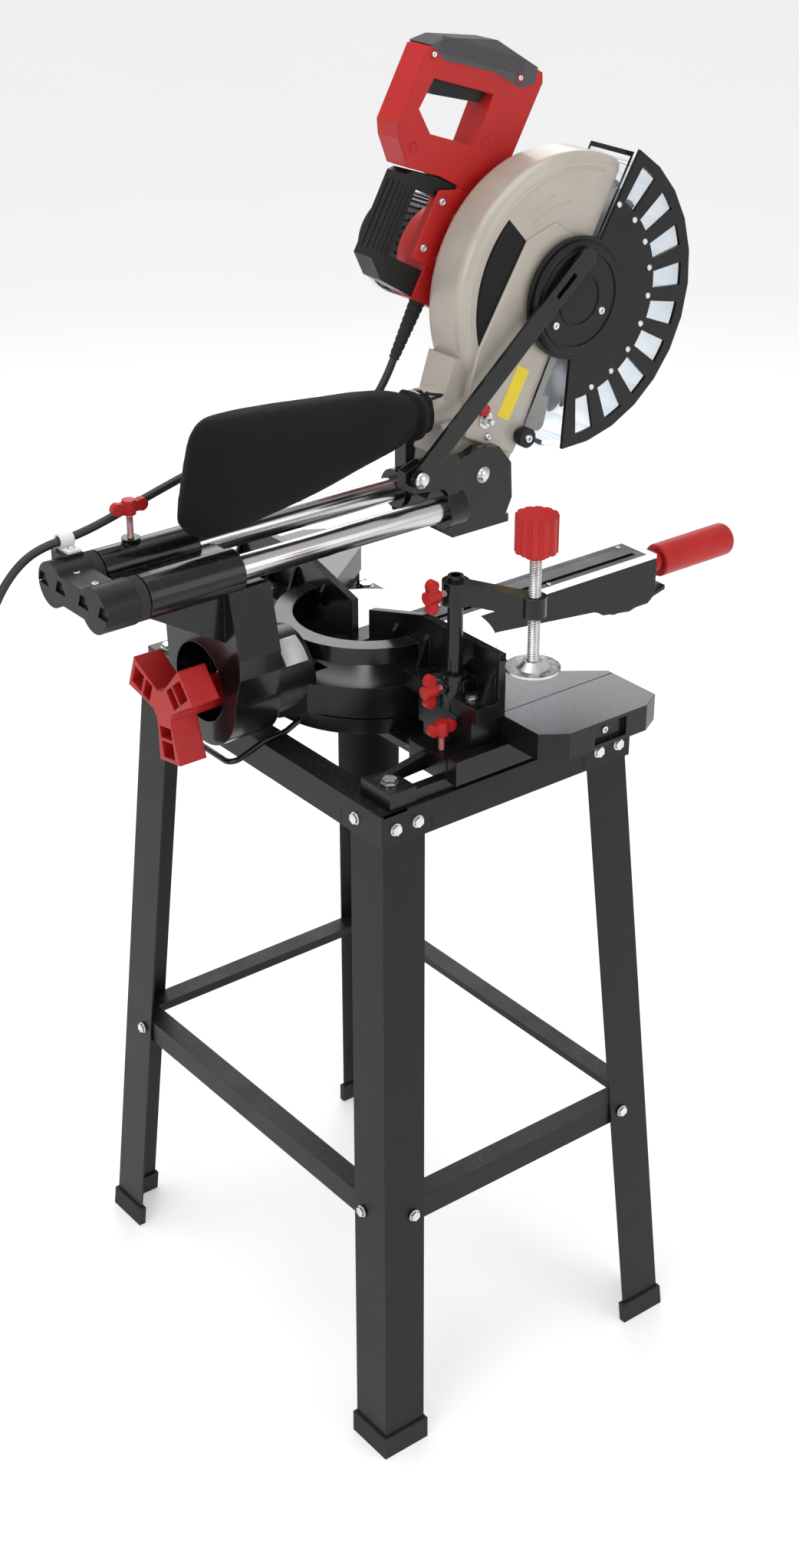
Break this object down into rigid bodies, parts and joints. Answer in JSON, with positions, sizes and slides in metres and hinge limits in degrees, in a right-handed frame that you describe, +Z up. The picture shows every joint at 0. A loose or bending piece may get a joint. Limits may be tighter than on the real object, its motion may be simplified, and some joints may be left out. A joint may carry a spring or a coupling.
{
  "type": "sliding mitre saw on stand",
  "caption": "Sliding compound mitre saw with dust bag and hold-down clamp, bolted to a splayed four-leg steel stand.",
  "frame": {"origin": "centre of the floor rectangle under the saw and stand, cord left out", "axes": "+X to the operator's right, +Y away from the operator along the slide rails, +Z up"},
  "size_m": [0.558, 1.119, 1.3603],
  "materials": {
    "painted_black": "gloss black paint",
    "stand_black": "satin black powder coat",
    "champagne": "satin champagne paint",
    "machined": "machined aluminium",
    "bright_steel": "polished bar",
    "zinc": "bright zinc",
    "red_plastic": "moulded red",
    "black_plastic": "moulded black",
    "grip_rubber": "ribbed grip",
    "blade_steel": "ground steel",
    "foot_rubber": "moulded rubber",
    "clear": "clear polycarbonate",
    "fabric": "woven nylon",
    "cord_black": "PVC sheath",
    "nylon_white": "white nylon",
    "bronze": "sintered bronze"
  },
  "bodies": {
    "stand": {"stand_legs": "stand_black", "stand_top_rails": "stand_black", "stand_braces": "stand_black", "stand_feet": "foot_rubber", "frame_bolts": "zinc", "base_casting": "painted_black", "fence": "painted_black", "rear_bail": "painted_black", "cord_fall": "cord_black", "cord_coil": "cord_black", "cord_plug": "cord_black"},
    "turntable": {"turntable": "machined", "kerf_insert": "painted_black", "bevel_pivot_bolt": "zinc"},
    "mitre_handle": {"mitre_handle": "red_plastic"},
    "detent_lever": {"detent_lever": "painted_black"},
    "bevel_arm": {"bevel_arm": "painted_black", "rail_bushes": "bronze", "cord_drop": "cord_black"},
    "bevel_lock_knob": {"bevel_lock_knob": "red_plastic"},
    "rail_lock_knob": {"rail_lock_knob": "red_plastic"},
    "slider": {"slide_rails": "bright_steel", "rail_end_cap": "painted_black", "rail_bumpers": "foot_rubber", "cord_clip": "nylon_white", "carriage": "painted_black", "pivot_pin": "zinc", "cord_tail": "cord_black"},
    "head": {"head_casting": "champagne", "return_spring": "bright_steel", "handle_shell": "red_plastic", "handle_grip": "grip_rubber", "carry_handle": "black_plastic", "motor_housing": "machined", "motor_cap": "black_plastic", "dust_bag": "fabric", "cord_relief": "cord_black", "cord_lead": "cord_black"},
    "blade": {"blade": "blade_steel", "spindle": "bright_steel"},
    "armature": {"armature": "bright_steel"},
    "idler_gear": {"idler_gear": "bright_steel"},
    "lower_guard": {"lower_guard": "clear", "guard_cover": "black_plastic", "hub_cover": "black_plastic"},
    "guard_roller": {"guard_roller": "black_plastic"},
    "link_arm": {"link_arm": "painted_black"},
    "trigger": {"trigger": "black_plastic"},
    "spindle_lock": {"spindle_lock": "red_plastic"},
    "wing_left": {"wing_left": "machined"},
    "wing_right": {"wing_right": "machined"},
    "wing_lock_left": {"wing_lock_left": "red_plastic"},
    "wing_lock_right": {"wing_lock_right": "red_plastic"},
    "clamp_post": {"clamp_post": "painted_black"},
    "clamp_arm": {"clamp_arm": "painted_black"},
    "clamp_screw": {"clamp_screw": "zinc", "clamp_knob": "red_plastic"},
    "clamp_pad": {"clamp_pad": "zinc"},
    "clamp_arm_lock": {"clamp_arm_lock": "red_plastic"},
    "clamp_post_lock": {"clamp_post_lock": "red_plastic"}
  },
  "joints": [
    {"name": "mitre_turn", "type": "hinge", "parent": "stand", "child": "turntable", "pos_m": [0, 0.089, 0.76], "axis": [0, 0, 1], "range_deg": [-45, 45]},
    {"name": "mitre_handle_twist", "type": "hinge", "parent": "turntable", "child": "mitre_handle", "pos_m": [0.004, -0.342, 0.773], "axis": [0, 1, 0], "range_deg": [-180, 180]},
    {"name": "detent_press", "type": "hinge", "parent": "turntable", "child": "detent_lever", "pos_m": [0.005, -0.232, 0.738], "axis": [1, 0, 0], "range_deg": [0, 6], "stiffness_Nm_per_rad": 4},
    {"name": "bevel_tilt", "type": "hinge", "parent": "turntable", "child": "bevel_arm", "pos_m": [0, 0.258, 0.792], "axis": [0, 1, 0], "range_deg": [-30, 0]},
    {"name": "bevel_lock_turn", "type": "hinge", "parent": "bevel_arm", "child": "bevel_lock_knob", "pos_m": [0, 0.303, 0.792], "axis": [0, 1, 0], "range_deg": [-60, 60]},
    {"name": "rail_lock_turn", "type": "hinge", "parent": "bevel_arm", "child": "rail_lock_knob", "pos_m": [0.037, 0.335, 0.97], "axis": [0, 0, 1], "range_deg": [0, 180]},
    {"name": "head_slide", "type": "slide", "parent": "bevel_arm", "child": "slider", "axis": [0, -1, 0], "range_m": [-0.19, 0]},
    {"name": "chop", "type": "hinge", "parent": "slider", "child": "head", "pos_m": [0, -0.02, 0.957], "axis": [1, 0, 0], "range_deg": [0, 64], "stiffness_Nm_per_rad": 14, "springref_deg": -68.75},
    {"name": "blade_spin", "type": "hinge", "parent": "head", "child": "blade", "pos_m": [0, -0.14, 1.11097], "axis": [1, 0, 0], "continuous": true},
    {"name": "armature_spin", "type": "hinge", "parent": "head", "child": "armature", "pos_m": [0.09, -0.07031, 1.13861], "axis": [1, 0, 0], "continuous": true},
    {"name": "idler_spin", "type": "hinge", "parent": "head", "child": "idler_gear", "pos_m": [0.044, -0.09493, 1.12885], "axis": [1, 0, 0], "continuous": true},
    {"name": "lower_guard_open", "type": "hinge", "parent": "head", "child": "lower_guard", "pos_m": [-0.035, -0.14, 1.11097], "axis": [1, 0, 0], "range_deg": [-125, 0]},
    {"name": "guard_roller_spin", "type": "hinge", "parent": "lower_guard", "child": "guard_roller", "pos_m": [-0.041, -0.078, 0.98156], "axis": [1, 0, 0], "continuous": true},
    {"name": "link_swing", "type": "hinge", "parent": "slider", "child": "link_arm", "pos_m": [-0.05, 0.065, 0.974], "axis": [1, 0, 0], "range_deg": [0, 49]},
    {"name": "trigger_pull", "type": "hinge", "parent": "head", "child": "trigger", "pos_m": [0.046, -0.01746, 1.3162], "axis": [1, 0, 0], "range_deg": [0, 7], "stiffness_Nm_per_rad": 0.6},
    {"name": "spindle_lock_press", "type": "slide", "parent": "head", "child": "spindle_lock", "axis": [1, 0, 0], "range_m": [0, 0.003], "stiffness_N_per_m": 500},
    {"name": "wing_left_slide", "type": "slide", "parent": "stand", "child": "wing_left", "axis": [-1, 0, 0], "range_m": [0, 0.055]},
    {"name": "wing_right_slide", "type": "slide", "parent": "stand", "child": "wing_right", "axis": [1, 0, 0], "range_m": [0, 0.055]},
    {"name": "wing_lock_left_turn", "type": "hinge", "parent": "stand", "child": "wing_lock_left", "pos_m": [-0.184, 0.142, 0.78], "axis": [0, 0, 1], "range_deg": [0, 90]},
    {"name": "wing_lock_right_turn", "type": "hinge", "parent": "stand", "child": "wing_lock_right", "pos_m": [0.184, 0.142, 0.78], "axis": [0, 0, 1], "range_deg": [-90, 0]},
    {"name": "clamp_post_lift", "type": "slide", "parent": "stand", "child": "clamp_post", "axis": [0, 0, 1], "range_m": [0, 0.02]},
    {"name": "clamp_arm_swing", "type": "hinge", "parent": "clamp_post", "child": "clamp_arm", "pos_m": [-0.168, 0.114, 0.912], "axis": [0, 0, -1], "range_deg": [-60, 25]},
    {"name": "clamp_screw_drive", "type": "slide", "parent": "clamp_arm", "child": "clamp_screw", "axis": [0, 0, 1], "range_m": [-0.038, 0]},
    {"name": "clamp_pad_swivel", "type": "hinge", "parent": "clamp_screw", "child": "clamp_pad", "pos_m": [-0.24, 0.08, 0.855], "axis": [0, 0, 1], "range_deg": [-90, 90]},
    {"name": "clamp_arm_lock_turn", "type": "hinge", "parent": "clamp_arm", "child": "clamp_arm_lock", "pos_m": [-0.168, 0.138, 0.912], "axis": [0, 1, 0], "range_deg": [-90, 90]},
    {"name": "clamp_post_lock_turn", "type": "hinge", "parent": "stand", "child": "clamp_post_lock", "pos_m": [-0.168, 0.138, 0.8163], "axis": [0, 1, 0], "range_deg": [-90, 90]}
  ],
  "couplings": [
    {"joint": "lower_guard_open", "follows": "chop", "ratio": -1.95},
    {"joint": "link_swing", "follows": "chop", "ratio": 0.755},
    {"joint": "armature_spin", "follows": "blade_spin", "ratio": 3.2},
    {"joint": "idler_spin", "follows": "blade_spin", "ratio": -1.9412}
  ]
}
